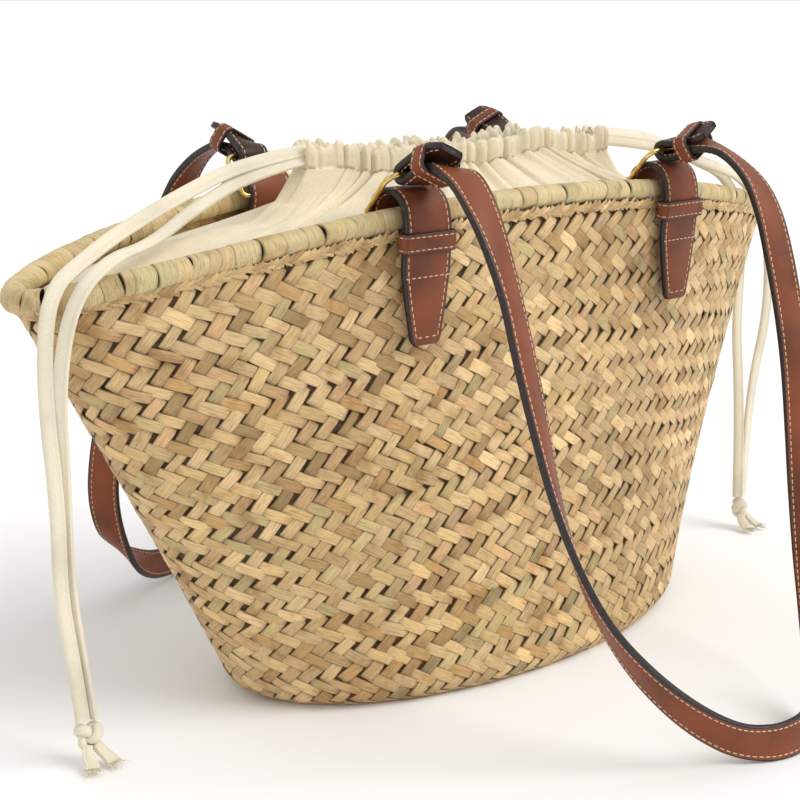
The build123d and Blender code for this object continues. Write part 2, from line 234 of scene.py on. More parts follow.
def smooth_line(points, step):
    """A Catmull-Rom line through points of any width, at even steps of their first three numbers."""
    points = np.asarray(points, dtype=float)
    padded = np.vstack([2 * points[0] - points[1], points, 2 * points[-1] - points[-2]])
    fine = []
    for k in range(len(points) - 1):
        p0, p1, p2, p3 = padded[k : k + 4]
        for u in np.linspace(0, 1, 24, endpoint=False):
            a, b = 2 * p1, p2 - p0
            c, e = 2 * p0 - 5 * p1 + 4 * p2 - p3, 3 * p1 - p0 - 3 * p2 + p3
            fine.append((a + b * u + c * u * u + e * u**3) / 2)
    fine = np.array(fine + [points[-1]])
    run = run_along(fine[:, :3])
    even = np.linspace(0, run[-1], max(3, int(round(run[-1] / step)) + 1))
    return np.stack([np.interp(even, run, fine[:, k]) for k in range(points.shape[1])], axis=1)


def tangents(line, closed=False):
    """The unit direction along a line of points."""
    if closed:
        return unit(np.roll(line, -1, axis=0) - np.roll(line, 1, axis=0))
    return unit(np.gradient(line, axis=0))


def side_and_up(line, across, closed=False):
    """The unit directions square to a line: across it, and up from both."""
    ahead = tangents(line, closed)
    side = unit(across - ahead * np.sum(across * ahead, axis=1, keepdims=True))
    return side, np.cross(ahead, side)


# ---------------------------------------------------------------- materials
class Nodes:
    """A short way to write a node tree for one material."""

    def __init__(self, name):
        self.material = bpy.data.materials.new(name)
        self.material.use_nodes = True
        self.tree = self.material.node_tree
        self.shader = self.tree.nodes["Principled BSDF"]

    def add(self, kind, **settings):
        node = self.tree.nodes.new(kind)
        for key, value in settings.items():
            if key in node.inputs:
                node.inputs[key].default_value = value
            else:
                setattr(node, key, value)
        return node

    def join(self, source, socket):
        """Link a (node, output) pair to an input socket."""
        self.tree.links.new(source[0].outputs[source[1]], socket)

    def mix(self, factor, first, second, blend="MIX"):
        """A colour mix; each argument is a (node, output) pair or a value."""
        node = self.add("ShaderNodeMix", data_type="RGBA", blend_type=blend)
        for index, value in ((0, factor), (6, first), (7, second)):
            if isinstance(value, tuple) and isinstance(value[0], bpy.types.Node):
                self.join(value, node.inputs[index])
            elif index == 0:
                node.inputs[index].default_value = value
            else:
                node.inputs[index].default_value = (*value[:3], 1)
        return node, 2

    def ramp(self, source, stops):
        """A colour ramp over a (node, output) pair."""
        node = self.add("ShaderNodeValToRGB")
        elements = node.color_ramp.elements
        while len(elements) < len(stops):
            elements.new(0.5)
        for element, (place, colour) in zip(elements, stops):
            element.position = place
            element.color = (*colour, 1)
        self.join(source, node.inputs[0])
        return node, 0

    def noise(self, scale, detail=3.0, vector=None, rough=0.55):
        node = self.add("ShaderNodeTexNoise", Scale=scale, Detail=detail, Roughness=rough)
        if vector is not None:
            self.join(vector, node.inputs["Vector"])
        return node, "Fac"

    def place(self, scale=(1, 1, 1), attribute=None):
        """Object coordinates, or a stored vector, stretched by scale."""
        if attribute:
            source = self.add("ShaderNodeAttribute", attribute_name=attribute), "Vector"
        else:
            source = self.add("ShaderNodeTexCoord"), "Object"
        mapping = self.add("ShaderNodeMapping", Scale=scale)
        self.join(source, mapping.inputs["Vector"])
        return mapping, "Vector"

    def between(self, source, low, high):
        """A number from low to high that follows a (node, output) pair."""
        node = self.add("ShaderNodeMapRange", **{"To Min": low, "To Max": high})
        self.join(source, node.inputs["Value"])
        return node, "Result"

    def bump(self, source, strength, distance, after=None):
        node = self.add("ShaderNodeBump", Strength=strength, Distance=distance)
        self.join(source, node.inputs["Height"])
        if after is not None:
            self.join((after, "Normal"), node.inputs["Normal"])
        return node

    def finish(self, colour, roughness, bump=None, **more):
        """Connect a (node, output) colour, a roughness value or pair, and a bump node to the shader."""
        if isinstance(colour[0], bpy.types.Node):
            self.join(colour, self.shader.inputs["Base Color"])
        else:
            self.shader.inputs["Base Color"].default_value = (*colour, 1)
        if isinstance(roughness, tuple):
            self.join(roughness, self.shader.inputs["Roughness"])
        else:
            self.shader.inputs["Roughness"].default_value = roughness
        if bump is not None:
            self.join((bump, "Normal"), self.shader.inputs["Normal"])
        for key, value in more.items():
            self.shader.inputs[key.replace("_", " ")].default_value = value
        return self.material


def leaf_material(name, depth=0.0005):
    """Dry palm leaf: painted colour, fibres along each strip, specks and faint stains."""
    n = Nodes(name)
    # the tone holds each strip's own colour, with the painted shade of the plait and of the rim's cracks
    # mixed in
    painted = n.add("ShaderNodeAttribute", attribute_name="tone"), "Color"
    fibres = n.noise(1.0, 4, n.place((0.12, 2.6, 1.0), "strip"))
    fine = n.noise(1.0, 2, n.place((0.5, 7.0, 1.0), "strip"))
    stains = n.noise(60, 4, n.place())
    streaks = (0.28, (0.52, 0.47, 0.38)), (0.5, (0.96, 0.96, 0.95)), (0.75, (1.16, 1.14, 1.1))
    shade = n.mix(1.0, painted, n.ramp(fibres, streaks), "MULTIPLY")
    spots = n.ramp(stains, ((0.3, (0.72, 0.63, 0.52)), (0.48, (1, 1, 1)), (0.7, (1.06, 1.05, 1.0))))
    colour = n.mix(1.0, shade, spots, "MULTIPLY")
    relief = n.bump(fine, 0.35, depth * 0.5)
    relief = n.bump(fibres, 0.55, depth, relief)
    return n.finish(colour, 0.52, relief, Specular_IOR_Level=0.35)


def shadow_leaf_material():
    """The leaf layers that show only through the gaps of the plait, painted near black as the shade that lies
    in the gaps.
    """
    n = Nodes("leaf_in_the_gaps_painted_shade")
    patches = n.noise(180, 3, n.place())
    colour = n.ramp(patches, ((0.35, (0.035, 0.016, 0.006)), (0.65, (0.14, 0.075, 0.028))))
    return n.finish(colour, 0.8, n.bump(patches, 0.6, 0.001))


def leather_material(name, colour, roughness=0.44):
    """Smooth tanned leather with a fine pebble, soft clouding and a slight oily sheen."""
    n = Nodes(name)
    dark = tuple(c * 0.55 for c in colour)
    bright = tuple(min(1, c * 1.35) for c in colour)
    clouds = n.noise(22, 4, n.place())
    base = n.ramp(clouds, ((0.3, dark), (0.52, colour), (0.78, bright)))
    pores = n.add("ShaderNodeTexVoronoi", Scale=1500.0)
    coordinates = n.place()
    n.join(coordinates, pores.inputs["Vector"])
    wrinkles = n.noise(260, 5, coordinates)
    relief = n.bump((pores, "Distance"), 0.22, 0.0002)
    relief = n.bump(wrinkles, 0.25, 0.0005, relief)
    shine = n.between(clouds, roughness - 0.06, roughness + 0.1)
    # painted shade: a stored value per point darkens the leather towards near black where the strap folds
    # round its ring
    fold_shade = n.add("ShaderNodeAttribute", attribute_name="fold_shade"), "Fac"
    darker = n.mix(fold_shade, base, (0.012, 0.006, 0.004))
    return n.finish(darker, shine, relief, Specular_IOR_Level=0.3)


def edge_material():
    """The dark painted and burnished edge of the leather."""
    n = Nodes("leather_edge")
    grain = n.noise(420, 4, n.place())
    paint = (0.3, (0.008, 0.005, 0.004)), (0.6, (0.022, 0.013, 0.011)), (0.8, (0.05, 0.03, 0.024))
    colour = n.ramp(grain, paint)
    return n.finish(colour, 0.42, n.bump(grain, 0.35, 0.0004))


def thread_material():
    """Waxed cream stitching."""
    n = Nodes("waxed_thread")
    twist = n.noise(2200, 2, n.place())
    colour = n.ramp(twist, ((0.3, (0.5, 0.31, 0.18)), (0.65, (0.80, 0.62, 0.42))))
    return n.finish(colour, 0.6, n.bump(twist, 0.4, 0.0002))


def cotton_material(name, colour, threads=1900.0, wrinkle=0.5):
    """Undyed cotton: a plain weave of fine threads, slubs, and soft creases."""
    n = Nodes(name)
    place = n.place()
    across = n.add("ShaderNodeTexWave", wave_type="BANDS", bands_direction="DIAGONAL",
                   Scale=threads / 6.0, Distortion=1.5, Detail=1.0)
    n.join(place, across.inputs["Vector"])
    slubs = n.noise(threads / 1.5, 2, place)
    clouds = n.noise(16, 4, place)
    dark = tuple(c * 0.82 for c in colour)
    warm = tuple(min(1, c * k) for c, k in zip(colour, (1.08, 1.06, 1.02)))
    base = n.ramp(clouds, ((0.32, dark), (0.52, colour), (0.75, warm)))
    mottled = n.ramp(slubs, ((0.3, (0.9, 0.89, 0.87)), (0.6, (1.02, 1.02, 1.01))))
    shade = n.mix(1.0, base, mottled, "MULTIPLY")
    creases = n.noise(85, 4, place)
    relief = n.bump((across, "Fac"), 0.12, 0.0002)
    relief = n.bump(slubs, 0.25, 0.00025, relief)
    relief = n.bump(creases, wrinkle, 0.0018, relief)
    return n.finish(shade, 0.9, relief, Specular_IOR_Level=0.12, Sheen_Weight=0.25, Sheen_Roughness=0.5)


def brass_material():
    """Polished brass with fine wear."""
    n = Nodes("polished_brass")
    wear = n.noise(300, 4, n.place())
    colour = n.ramp(wear, ((0.3, (0.55, 0.33, 0.09)), (0.6, (0.83, 0.58, 0.2)), (0.85, (0.95, 0.75, 0.36))))
    return n.finish(colour, n.between(wear, 0.14, 0.36), n.bump(wear, 0.08, 0.0002), Metallic=1.0)


leaf = leaf_material("palm_leaf")
rim_leaf = leaf_material("rim_leaf", 0.0004)
# painted shade: a near-black leaf that stands for the shade seen through the gaps of the plait
gap_shade_leaf = shadow_leaf_material()
leather = leather_material("tan_leather", (0.205, 0.055, 0.021))
leather_edge = edge_material()
thread = thread_material()
cotton = cotton_material("cotton_canvas", (0.80, 0.71, 0.53))
tape_cotton = cotton_material("cotton_tape", (0.80, 0.73, 0.58), 2600.0, 0.15)
brass = brass_material()

STRAW = (0.615, 0.415, 0.193)
STRAW_TINTS = (
    (1.3, (0.63, 0.435, 0.21)),    # straw gold
    (1.1, (0.71, 0.51, 0.27)),     # pale cream
    (0.4, (0.54, 0.42, 0.205)),    # greenish
    (0.45, (0.63, 0.40, 0.205)),   # pinkish
    (0.3, (0.51, 0.305, 0.125)),   # orange brown
    (0.2, (0.38, 0.25, 0.11)),     # dark
)


def straw_tones(count, spread, shift=0.0):
    """One leaf colour for each of count strips; shift makes them lighter or darker."""
    weights = np.array([weight for weight, _ in STRAW_TINTS])
    tints = np.array([tint for _, tint in STRAW_TINTS])
    kind = rng.choice(len(tints), size=count, p=weights / weights.sum())
    tones = tints[kind] * rng.normal(1.0 + shift, 0.09, (count, 1))
    return np.array(STRAW) * (1 - spread) + tones * spread


# ---------------------------------------------------------------- the plaited wall
# A float's angle is in degrees from the row; half is half its length along the strip.
PITCH = 12.0                       # between two strips of one direction, along a row
ROW = 9.0                          # height of a row of floats
ROWS_IN_BRAID = 8
FALLING = dict(angle=-32.5, half=10.0, width=8.1)
RISING = dict(angle=41.0, half=9.2, width=7.1)


def float_profile():
    """The grid of one float: places along and across it from -1 to 1, and its height in mm."""
    along = np.array([-1, -0.98, -0.9, -0.6, 0, 0.6, 0.9, 0.98, 1])
    across = np.array([-1, -0.95, -0.82, 0, 0.82, 0.95, 1])
    s, w = np.meshgrid(along, across, indexing="ij")
    arch = -1.35 * np.abs(s) ** 4.2
    crown = -0.08 * w**2 - 0.14 * np.abs(w) ** 8
    skirt = np.where((np.abs(s) == 1) | (np.abs(w) == 1), -0.9, 0)
    return s, w, arch + crown + skirt


def drift(share, level):
    """How far a row wanders up and down on its way round: the braids are never quite even."""
    fade = np.clip(np.minimum(level / 30, (WALL_RUN - RIM - level) / 30), 0, 1)
    first = 2.6 * np.sin(2 * pi * (3 * share + level / 260) + 0.7)
    return fade * (first + 1.5 * np.sin(2 * pi * (7 * share - level / 140) + 2.1))


def plait(name, low, rows, lift=0.0, inside=False):
    """Rows of floats of a 2/2 twill plait, from the run low upwards, on braids of eight rows."""
    s, w, height = float_profile()
    all_points, all_tones, all_strips = [], [], []
    tones = {}
    for row in range(rows):
        middle = low + (row + 0.5) * ROW
        braid = row // ROWS_IN_BRAID
        braid_middle = low + (braid + 0.5) * ROWS_IN_BRAID * ROW
        count = max(8, int(round(way_round(braid_middle) / PITCH)))
        falling = row % 2 == 0
        kind = FALLING if falling else RISING
        if (braid, falling) not in tones:
            tones[braid, falling] = straw_tones(count, 0.85, 0.05 if falling else -0.10)
        order = np.arange(count)
        strip = (order + (row // 2) * (2 if falling else -2)) % count
        tone = tones[braid, falling][strip] * rng.normal(1, 0.085, (count, 1))
        round_here = way_round(middle)
        stretch = round_here / count / PITCH
        each = (count, 1, 1)
        share = ((order + (0 if falling else 0.5)) / count).reshape(each)
        share = share + rng.normal(0, 0.35, each) / round_here
        level = middle + rng.normal(0, 0.3, each) + drift(share, middle)
        angle = np.radians(kind["angle"] + rng.normal(0, 3.0, each))
        if inside:
            angle = -angle
        half = kind["half"] * stretch**0.5 * (1 + rng.normal(0, 0.06, each))
        wide = kind["width"] / 2 * stretch**0.7 * (1 + rng.normal(0, 0.085, each))
        tilt = rng.normal(0, 0.16, each)
        bend = rng.normal(0, 0.35, each)
        along = s * half
        across = w * wide * (1 - 0.07 * np.abs(s) ** 3) + bend * (s**2 - 0.4)
        ahead = (along * np.cos(angle) - across * np.sin(angle)) / round_here
        up = along * np.sin(angle) + across * np.cos(angle)
        rise = height + tilt * w + rng.normal(0, 0.12, each) + lift
        if inside:
            rise = -rise
        all_points.append(lifted(share + ahead, level + up, rise).reshape(-1, 3))
        # painted shade: each float is darkened where it dips under its neighbours and in a thin band along
        # its edges, drawing the dark lines between floats
        edge = np.where(np.abs(w) > 0.9, 0.42, 1) * np.where(np.abs(s) > 0.95, 0.5, 1)
        painted_depth_shade = (np.clip(1.05 + 0.36 * (height + 0.1), 0.4, 1.05) * edge)[None, ..., None]
        all_tones.append((tone[:, None, None, :] * painted_depth_shade).reshape(-1, 3))
        label = rng.uniform(0, 900, each) + 0 * along
        all_strips.append(np.stack([along + label, across + label * 0.7, label], axis=-1).reshape(-1, 3))
    total = sum(map(len, all_points)) // s.size
    faces = many_grids(total, *s.shape, flip=inside)
    return leaf_piece(name, all_points, faces, all_tones, all_strips, leaf, "palm_leaf_plait")


def shell_faces(rows, columns, flip):
    """Two closed layers of quads, one behind the other, and the edge that joins their first rows."""
    behind = rows * columns
    faces = list(grid_faces(rows, columns, closed_columns=True, flip=flip))
    faces += list(grid_faces(rows, columns, closed_columns=True, first=behind, flip=not flip))
    for c in range(columns):
        d = (c + 1) % columns
        edge = (d, c, behind + c, behind + d)
        faces.append(edge[::-1] if flip else edge)
    return faces, behind


def shell_grid(runs, columns):
    """The shares and runs of a grid of points all the way round."""
    return np.meshgrid(np.arange(columns) / columns, runs)


def wall_shell():
    """The closed leaf shell behind the floats, seen only through the gaps; it carries the painted gap shade.
    """
    runs = np.concatenate([np.linspace(0, CORNER, 6), np.linspace(CORNER, WALL_RUN - RIM, 26)[1:]])
    columns = 240
    share, run = shell_grid(runs, columns)
    points = np.concatenate([lifted(share, run, depth).reshape(-1, 3) for depth in (-1.9, -3.1)])
    faces, behind = shell_faces(len(runs), columns, False)
    top = behind - columns
    for c in range(columns):
        d = (c + 1) % columns
        faces.append((top + c, top + d, behind + top + d, behind + top + c))
    return new_piece("wall_core", points, faces, [gap_shade_leaf], "palm_leaf_plait")


def base_shell():
    """The flat leaf layer under and over the bottom, inside the round edge, in the painted gap shade."""
    runs = np.linspace(0, BASE_MIDDLE, 12)
    columns = 160
    points = np.concatenate([wall_point(*shell_grid(runs, columns)).reshape(-1, 3)] * 2)
    faces, behind = shell_faces(len(runs), columns, True)
    points[:behind, 2], points[behind:, 2] = 1.9, 4.6
    middle = list(range(behind - columns, behind))
    faces.append(middle)
    faces.append([behind + c for c in reversed(middle)])
    return new_piece("base_core", points, faces, [gap_shade_leaf], "palm_leaf_plait")


def build_basket():
    top_run = WALL_RUN - RIM
    outer = plait("plaited_wall", 1.0, int((top_run + 2) // ROW))
    shell = wall_shell()
    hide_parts("basket_wall")
    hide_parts("basket_wall")
    plait("plaited_wall_inside", top_run - 7 * ROW + 2, 7, lift=4.6, inside=True)
    bottom = plait("plaited_base", 1.0 - 9 * ROW, 9)
    core = base_shell()
    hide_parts("basket_base")
    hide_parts("basket_base")


# ---------------------------------------------------------------- the rim
def rim_middle(share):
    """The middle line of the rim's roll, and its outward and upward directions."""
    a, b = MOUTH_A - RIM_RADIUS, MOUTH_B - RIM_RADIUS
    t = ellipse_angle(share, WALL_RUN - RIM_RADIUS)
    x, y = a * np.cos(t) + LEAN, b * np.sin(t)
    z = HEIGHT - RIM_RADIUS - DROOP * np.cos(t) ** 2
    out = unit(np.stack([np.cos(t) / a, np.sin(t) / b, np.zeros_like(t)], axis=-1))
    ahead = unit(np.stack([-a * np.sin(t), b * np.cos(t), 2 * DROOP * np.cos(t) * np.sin(t)], axis=-1))
    up = np.cross(out, ahead)
    up *= np.sign(up[..., 2:3])
    return np.stack([x, y, z], axis=-1), out, up


TURN_PLACES = (0.0, 0.05, 0.12, 0.5, 0.87, 1.0)    # across one turn of the winding
RIM_PALE = np.array((0.64, 0.51, 0.28))
RIM_GREEN = np.array((0.55, 0.52, 0.26))
RIM_BROWN = np.array((0.60, 0.41, 0.19))


def build_rim():
    """Pale leaf wound round the rim, turn by turn, each turn's edge lying on the one before."""
    around = 26
    length = way_round(WALL_RUN - RIM_RADIUS)
    place, points, tones, strips = 0.0, [], [], []
    while place < length - 3:
        near_end = rim_end(place / length)
        width = rng.uniform(5.5, 15.0) * (1 - 0.5 * near_end)
        width = min(width, length - place)
        phi = np.linspace(0, 2 * pi, around, endpoint=False)
        part, phi = np.meshgrid(TURN_PLACES, phi, indexing="ij")
        slant = rng.normal(2.0, 1.0)
        wobble = 0.5 * np.sin(phi * 2 + rng.uniform(0, 6))
        share = (place + part * (width + 0.9) + slant * np.cos(phi - 0.6) + wobble) / length
        middle, out, up = rim_middle(share)
        gap = rng.choice((0.15, 0.5, 1.0), p=(0.2, 0.3, 0.5)) * (1 - near_end) + near_end
        relief = np.array((-0.25 - 0.7 * gap, 0.22, 0.32, 0.3, 0.14, -0.1))[:, None]
        ripple = 0.14 * np.sin(phi * 4 + rng.uniform(0, 6)) * rng.uniform(0.3, 1)
        crease = 0.07 * np.sin(part * width * 2.6 + phi * 1.5 + rng.uniform(0, 6))
        radius = RIM_RADIUS - 0.45 + relief + ripple + crease + rng.normal(0, 0.08)
        direction = np.cos(phi)[..., None] * out + np.sin(phi)[..., None] * up
        points.append((middle + radius[..., None] * direction).reshape(-1, 3))
        tone = RIM_PALE * rng.normal(1, 0.06)
        pick = rng.uniform()
        if pick > 0.82:
            tone = tone * 0.65 + RIM_GREEN * 0.35
        elif pick < 0.2:
            tone = tone * 0.6 + RIM_BROWN * 0.4
        # painted shade: each turn's tucked edge, and a little its far edge, is darkened as the shade in the
        # crack between turns, more where the crack is open
        shade = np.array((1 - 0.95 * gap, 1 - 0.3 * gap, 1, 1, 1, 0.9 - 0.35 * gap))[:, None] + 0 * part
        tones.append((tone * shade[..., None]).reshape(-1, 3))
        label = rng.uniform(0, 900)
        across = part * width
        strip_place = np.stack([phi * 7 + label, across + label * 0.7, across * 0 + label], -1)
        strips.append(strip_place.reshape(-1, 3))
        place += width
    faces = many_grids(len(points), len(TURN_PLACES), around, closed_columns=True)
    rim = leaf_piece("wound_rim", points, faces, tones, strips, rim_leaf, "pale_palm_leaf")
    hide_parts("rim_wrap", "rim_core")


def rim_end(share):
    """One at the two ends of the oval, falling to nothing along its sides."""
    return abs(cos(ellipse_angle(share, WALL_RUN - RIM_RADIUS))) ** 10


def build_lashing():
    """The small plaited line sewn on just under the rim."""
    run = WALL_RUN - RIM - 1.3
    length = way_round(run)
    count = int(length / 4.2)
    along = np.array([-1, -0.8, -0.3, 0.3, 0.8, 1])
    across = np.array([-1, -0.7, 0, 0.7, 1])
    s, w = np.meshgrid(along, across, indexing="ij")
    height = 0.85 - 0.8 * s**4 - 0.55 * w**2
    points, tones, strips = [], [], []
    for side in (1, -1):
        each = (count, 1, 1)
        share = ((np.arange(count) + (0.5 if side > 0 else 0)) / count).reshape(each)
        angle = np.radians(side * 24 + rng.normal(0, 9, each))
        a = s * (5.2 * rng.normal(1, 0.18, each))
        b = w * (1.35 * rng.normal(1, 0.2, each))
        ahead = (a * np.cos(angle) - b * np.sin(angle)) / length
        up = a * np.sin(angle) + b * np.cos(angle) + side * 0.7 + rng.normal(0, 0.3, each)
        points.append(lifted(share + ahead, run + up, height + (0.2 if side > 0 else 0)).reshape(-1, 3))
        tone = straw_tones(count, 0.7) * rng.normal(0.92, 0.1, (count, 1))
        tones.append(np.broadcast_to(tone[:, None, None, :], (*up.shape, 3)).reshape(-1, 3))
        label = rng.uniform(0, 900, each) + 0 * up
        strips.append(np.stack([a + label, b + label, label], -1).reshape(-1, 3))
    faces = many_grids(2 * count, len(along), len(across))
    piece = leaf_piece("rim_lashing_plait", points, faces, tones, strips, leaf, "palm_cord")
    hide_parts("rim_lashing")


# ---------------------------------------------------------------- the cotton lining
CHANNEL_TOP = (                    # its height at places along X
    (-131, 325), (-118, 326), (-105, 325), (-85, 320.5), (-60, 321), (-30, 323), (0, 320.5),
    (20, 322), (42, 325.5), (58, 326), (75, 322.5), (92, 319.5), (112, 321), (131, 322),
)
CHANNEL_A, CHANNEL_B = 127.5, 15.5 # half length and half depth
CHANNEL_HEIGHT = 13.0
CHANNEL = (                        # its section: out from its line, and up
    (0, 0), (0.1, 1.6), (0.4, 4.5), (0.6, 8.2), (0.2, 11.4), (-0.9, 12.9), (-2.2, 12.4),
    (-3.4, 9.5), (-3.4, 5.2), (-2.6, 1.6), (-1.9, -1.2),
)
LEAVING_RUN = 289.0                # where the cloth leaves the wall
BEHIND_WALL, BEHIND_RIM = -7.5, -6.2    # how deep the cloth lies there
CLOTH_COLUMNS, CLOTH_STEPS = 900, 34
CLOTH_THICK = 0.9
PLEATS = 46


def waves(place, lengths, seed):
    """A smooth, irregular line: a sum of sines of those wavelengths with seeded phases."""
    own = np.random.default_rng(seed)
    total = np.zeros_like(place)
    for length in lengths:
        total += np.sin(2 * pi * place / length + own.uniform(0, 2 * pi)) * own.uniform(0.6, 1)
    return total / len(lengths) ** 0.5


def rim_height(x):
    """The height of the rim's top at the place x along the basket."""
    return HEIGHT - DROOP * np.minimum(((x - LEAN) / MOUTH_A) ** 2, 1)


def channel_line(t):
    """The foot of the gathered channel, where the cloth meets it, at the ellipse angle t."""
    x = CHANNEL_A * np.sign(np.cos(t)) * np.abs(np.cos(t)) ** 0.92
    y = CHANNEL_B * np.sign(np.sin(t)) * np.abs(np.sin(t)) ** 0.42
    y = y + 2.0 * waves(x, (210.0, 96.0), 4)
    tops = np.array(CHANNEL_TOP)
    z = np.interp(x, tops[:, 0], tops[:, 1]) - CHANNEL_HEIGHT
    return x, y, z


def build_lining():
    """One cloth: the bag inside the wall, the gathered collar, and the channel for the cords."""
    share = np.arange(CLOTH_COLUMNS) / CLOTH_COLUMNS
    rows = []
    for d in list(np.linspace(BASE_MIDDLE, 0, 7)) + list(np.linspace(8, LEAVING_RUN - 40, 15)):
        rows.append(lifted(share, d, BEHIND_WALL))
    t = ellipse_angle(share, LEAVING_RUN)
    leaving = LEAVING_RUN + 3 * np.abs(np.cos(t)) ** 6
    x1, y1, z1 = channel_line(t)
    along = np.concatenate([[0], np.cumsum(np.hypot(np.diff(x1), np.diff(y1)))])
    whole = along[-1] + np.hypot(x1[0] - x1[-1], y1[0] - y1[-1])
    end = np.abs(np.cos(t)) ** 5       # one at the bag's two ends, nothing along its sides
    phase = 2 * pi * PLEATS * along / whole + 2.2 * waves(along, (whole / 7, whole / 17, whole / 29), 7)
    fold = np.sin(phase) + 0.35 * np.sin(2 * phase + 1.1) + 0.25 * waves(along, (whole / 90, whole / 61), 8)
    # The gathers are uneven: stronger at the front's right, weaker at the left end.
    strong = 0.62 + 0.42 * waves(along, (whole / 5, whole / 11), 9) + 0.25 * (np.sin(t) < 0) * (x1 > 20)
    strong = np.clip(strong, 0.2, 1.3) * (1 - 0.55 * np.exp(-(((x1 + 112) / 24) ** 2)))
    start = lifted(share, LEAVING_RUN - 40, -7.0)
    wall_side = lifted(share, leaving, BEHIND_RIM)
    for k in range(1, 6):
        part = k / 5
        tuck = wall_side + (start - wall_side) * (1 - part)
        rows.append(tuck + fold[:, None] * 0.5 * part * np.array([0, 0, 1]))
    channel = np.stack([x1, y1, z1], axis=-1)
    for w in np.arange(1, CLOTH_STEPS + 1) / CLOTH_STEPS:
        # From the wall (w = 0) to the channel (w = 1): taut along the sides, slack at the ends.
        over = 1 - (1 - w) ** (1.0 + 1.2 * end)
        row = wall_side + (channel - wall_side) * over[:, None]
        beside_rim = wall_side[:, 2] + rim_height(row[:, 0]) - rim_height(wall_side[:, 0])
        near_channel = np.clip((over - 0.80) / 0.20, 0, 1) ** 1.4
        at_channel = wall_side[:, 2] + rim_height(channel[:, 0]) - rim_height(wall_side[:, 0])
        slack_height = beside_rim + (channel[:, 2] - at_channel) * near_channel
        taut_height = wall_side[:, 2] + (channel[:, 2] - wall_side[:, 2]) * w**1.05
        row[:, 2] = taut_height * (1 - end) + slack_height * end
        slack = np.sin(pi * w)
        row[:, 2] += slack * (1.6 * waves(share, (0.31, 0.17, 0.09), 12) - 1.0) * (1 - 0.5 * end)
        row[:, 2] += end * (9.0 - 3.5 * np.sin(t)) * np.abs(np.sin(pi * np.minimum(1, over * 1.1))) ** 0.4
        crumple = waves(along + 26 * w, (whole / 23, whole / 37), 14) * np.sin(pi * w) * 0.7
        size = (0.35 + 3.9 * w**1.1) * strong * (1 - 0.3 * end)
        ripple = fold * size + crumple * (0.5 + 0.5 * end)
        away = unit(np.stack([x1 * end, np.sign(np.sin(t)) * 40 * (1 - end), 0 * t], -1))
        row += ripple[:, None] * (away * (0.65 - 0.15 * end)[:, None] + np.array([0, 0, 0.55]))
        rows.append(row)
    out = unit(np.stack([x1 / CHANNEL_A**2 * 3, y1 / CHANNEL_B**2, np.zeros_like(t)], -1))
    ruffle = np.sin(phase * 1.6 + 3.2 * waves(along, (whole / 13, whole / 31), 21))
    ruffle = np.sign(ruffle) * np.abs(ruffle) ** 1.2 + 0.5 * waves(along, (whole / 130, whole / 85), 22)
    uneven = 1.7 * waves(along, (whole / 33, whole / 51, whole / 90), 23) + 0.8 * fold
    for offset, height in CHANNEL:
        rise = height / CHANNEL_HEIGHT
        seam = 1 - 0.45 * np.exp(-(((height - 1.0) / 1.0) ** 2))
        swell = offset + np.sign(offset + 0.4) * ruffle * 0.6 * strong * seam
        row = channel + out * (swell + fold * strong * (2.9 - 0.3 * rise))[:, None]
        row[:, 2] += height + uneven * rise + ruffle * 0.45 * rise + 1.9 * fold * strong * (1 - 0.3 * rise)
        rows.append(row)
    faces = list(grid_faces(len(rows), CLOTH_COLUMNS, closed_columns=True))
    faces.append(range(CLOTH_COLUMNS)[::-1])
    piece = new_piece("cotton_lining", np.concatenate(rows), faces, [cotton], "cotton_canvas")
    solid = piece.modifiers.new("cloth", "SOLIDIFY")
    solid.thickness = CLOTH_THICK * MM
    solid.offset = 0
    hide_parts("lining_bag", "lining_collar", "drawstring_casing")
    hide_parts("left_drawcord_in_casing", "right_drawcord_in_casing")


# ---------------------------------------------------------------- the drawcords
LEFT_A = (
    (-0.1195, 0.001, 0.3225), (-0.170, -0.002, 0.318), (-0.215, -0.007, 0.304), (-0.256, -0.012, 0.289),
    (-0.289, -0.023, 0.2755), (-0.304, -0.028, 0.268), (-0.311, -0.028, 0.250), (-0.312, -0.025, 0.208),
    (-0.308, -0.024, 0.153), (-0.307, -0.019, 0.102), (-0.2995, -0.016, 0.059), (-0.295, -0.013, 0.0259),
)
LEFT_B = (
    (-0.1195, -0.001, 0.3185), (-0.165, -0.004, 0.3125), (-0.208, -0.011, 0.2975), (-0.243, -0.020, 0.2815),
    (-0.278, -0.037, 0.280), (-0.302, -0.040, 0.262), (-0.307, -0.030, 0.219), (-0.303, -0.023, 0.166),
    (-0.302, -0.019, 0.113), (-0.295, -0.015, 0.064), (-0.289, -0.013, 0.0259),
)
RIGHT_A = (
    (0.1195, 0.002, 0.3195), (0.165, 0.005, 0.3165), (0.205, 0.010, 0.306), (0.245, 0.013, 0.292),
    (0.279, 0.014, 0.280), (0.297, 0.012, 0.256), (0.300, 0.010, 0.215), (0.296, 0.009, 0.165),
    (0.301, 0.008, 0.112), (0.299, 0.004, 0.066), (0.296, 0.001, 0.0259),
)
RIGHT_B = (
    (0.1195, 0, 0.3155), (0.167, -0.003, 0.3105), (0.208, -0.004, 0.300), (0.246, -0.003, 0.289),
    (0.280, -0.002, 0.279), (0.304, -0.003, 0.254), (0.320, -0.002, 0.212), (0.323, 0.001, 0.165),
    (0.310, 0.002, 0.118), (0.305, 0.002, 0.068), (0.302, 0.001, 0.0259),
)
TAPE_WIDTH, TAPE_THICK = 8.0, 2.4
TAPE_SECTION = (
    (-1.0, -0.55), (-0.93, -0.95), (-0.72, -1.0), (-0.52, -0.72), (-0.38, -1.0), (0.3, -1.08),
    (0.93, -0.95), (1.0, -0.4), (1.0, 0.4), (0.93, 0.95), (0.3, 1.08), (-0.38, 1.0), (-0.52, 0.72),
    (-0.72, 1.0), (-0.93, 0.95), (-1.0, 0.55),
)


